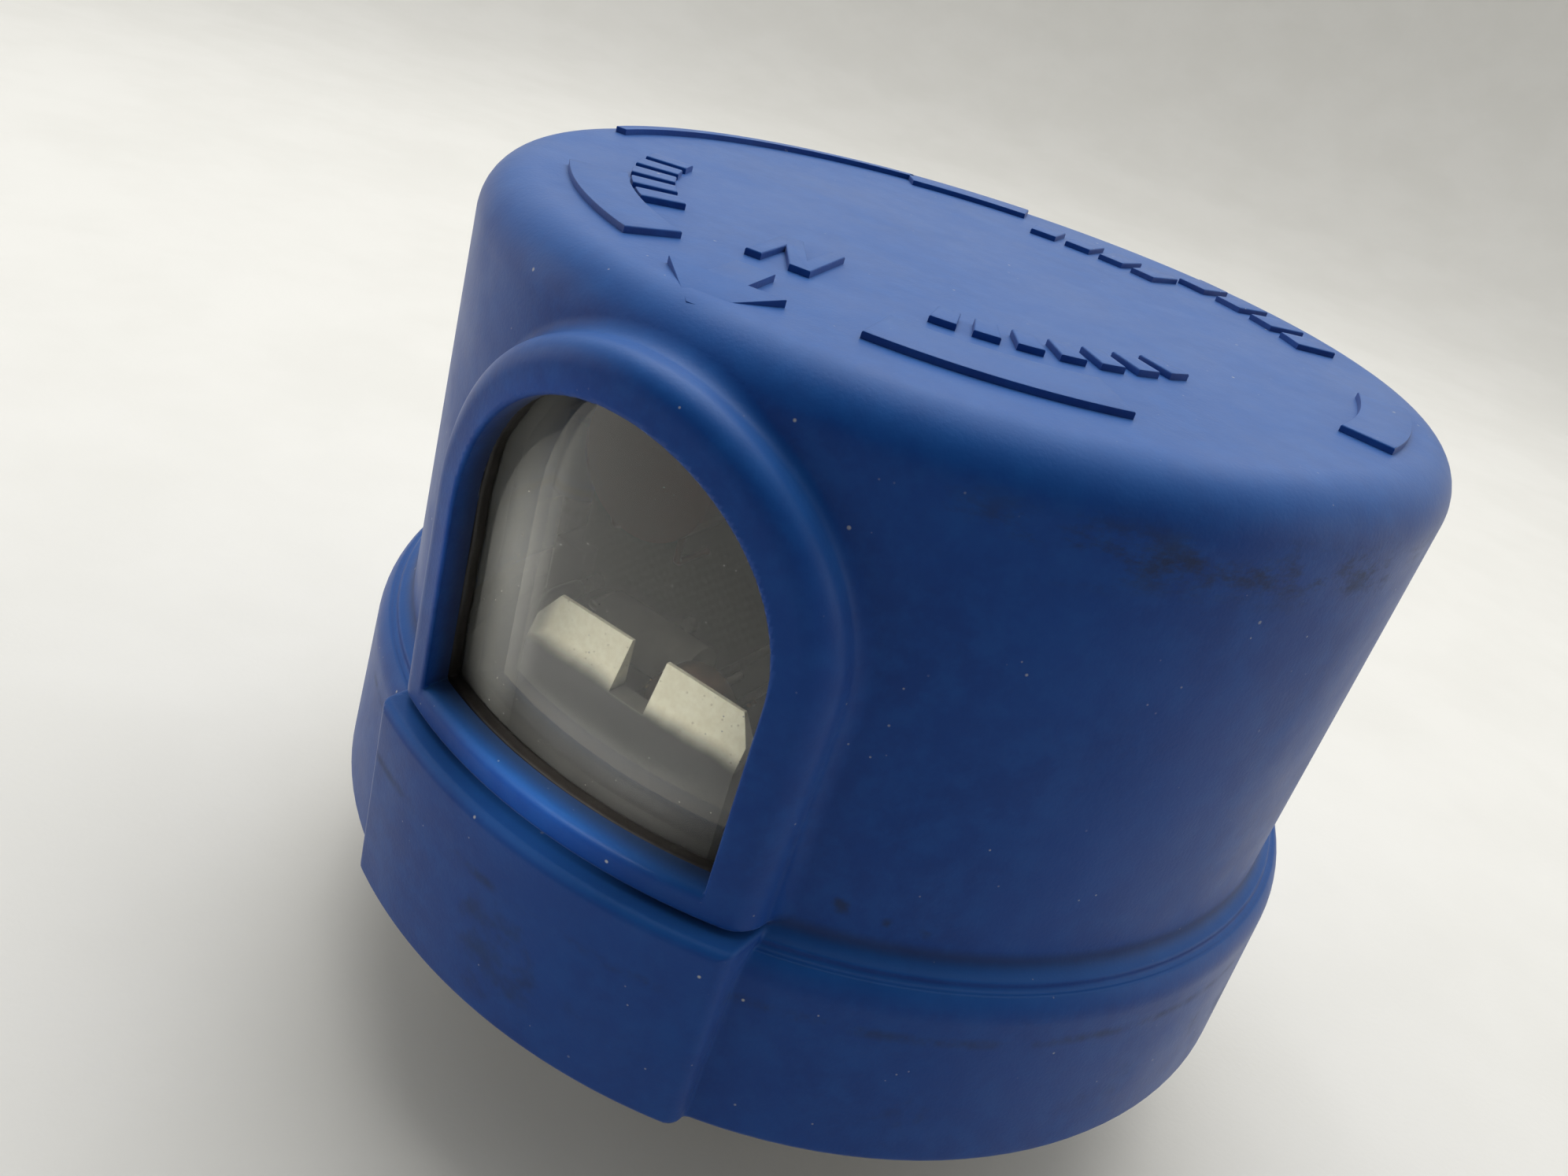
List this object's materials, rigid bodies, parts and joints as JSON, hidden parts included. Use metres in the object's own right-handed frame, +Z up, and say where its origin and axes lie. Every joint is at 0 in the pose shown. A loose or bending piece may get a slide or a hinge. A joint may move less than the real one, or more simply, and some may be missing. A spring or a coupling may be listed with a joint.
{
  "type": "twist-lock photocontrol",
  "caption": "Street light photocontrol: blue moulded cap with an arched window over a light sensor and relay, on a black base with brass twist-lock blades.",
  "frame": {"origin": "centre of the base plate's flat underside, in the plane that seats on the lamp's receptacle", "axes": "+Z up through the top of the cover, -Z along the blades into the receptacle, -Y the way the window faces"},
  "size_m": [0.0848, 0.086, 0.0706],
  "materials": {
    "cover_blue": "moulded, satin",
    "lens_clear": "clear moulded plastic",
    "sealant_dark": "cured sealant",
    "base_black": "moulded, matt",
    "gasket_foam": "closed-cell foam",
    "screw_zinc": "zinc plated",
    "blade_brass": "stamped",
    "rivet_brass": "tinned",
    "baffle_cream": "fibre board",
    "cell_ceramic": "ceramic with a sensing track",
    "lead_tinned": "tinned wire",
    "board_green": "solder mask",
    "arrester_red": "epoxy coated disc",
    "film_brown": "epoxy case",
    "filter_sleeve": "shrink sleeve",
    "resistor_ceramic": "cement body",
    "resistor_tan": "lacquered body",
    "diode_black": "moulded body",
    "relay_black": "moulded",
    "relay_steel": "nickel plated",
    "bobbin_natural": "moulded nylon",
    "coil_copper": "enamelled copper wire",
    "leaf_bronze": "rolled spring strip",
    "contact_silver": "silver alloy",
    "spring_steel": "drawn wire",
    "wire_black": "insulation",
    "wire_red": "insulation",
    "wire_white": "insulation",
    "lead_enamel": "enamelled wire"
  },
  "bodies": {
    "housing": {"cover": "cover_blue", "window_lens": "lens_clear", "window_seal": "sealant_dark", "base_plate": "base_black", "seat_gasket": "gasket_foam", "cover_screws": "screw_zinc", "line_blade": "blade_brass", "load_blade": "blade_brass", "neutral_blade": "blade_brass", "blade_rivets": "rivet_brass", "light_baffle": "baffle_cream", "photocell": "cell_ceramic", "photocell_leads": "lead_tinned", "circuit_board": "board_green", "surge_arrester": "arrester_red", "film_capacitor": "film_brown", "filter_capacitor": "filter_sleeve", "dropper_resistor": "resistor_ceramic", "small_resistors": "resistor_tan", "rectifier_diodes": "diode_black", "board_pins": "lead_tinned", "relay_base": "relay_black", "relay_yoke": "relay_steel", "relay_core": "relay_steel", "relay_bobbin": "bobbin_natural", "relay_coil": "coil_copper", "fixed_contact": "contact_silver", "fixed_contact_strip": "blade_brass", "return_spring": "spring_steel", "line_wire": "wire_black", "load_wire": "wire_red", "neutral_wire": "wire_white", "relay_leads": "lead_enamel"},
    "armature": {"relay_armature": "relay_steel", "contact_leaf": "leaf_bronze", "leaf_rivets": "rivet_brass", "moving_contact": "contact_silver"}
  },
  "joints": [
    {"name": "armature_hinge", "type": "hinge", "parent": "housing", "child": "armature", "pos_m": [0, 0.0186, 0.0305], "axis": [1, 0, 0], "range_deg": [0, 3], "stiffness_Nm_per_rad": 0.02, "springref_deg": -5.73}
  ]
}
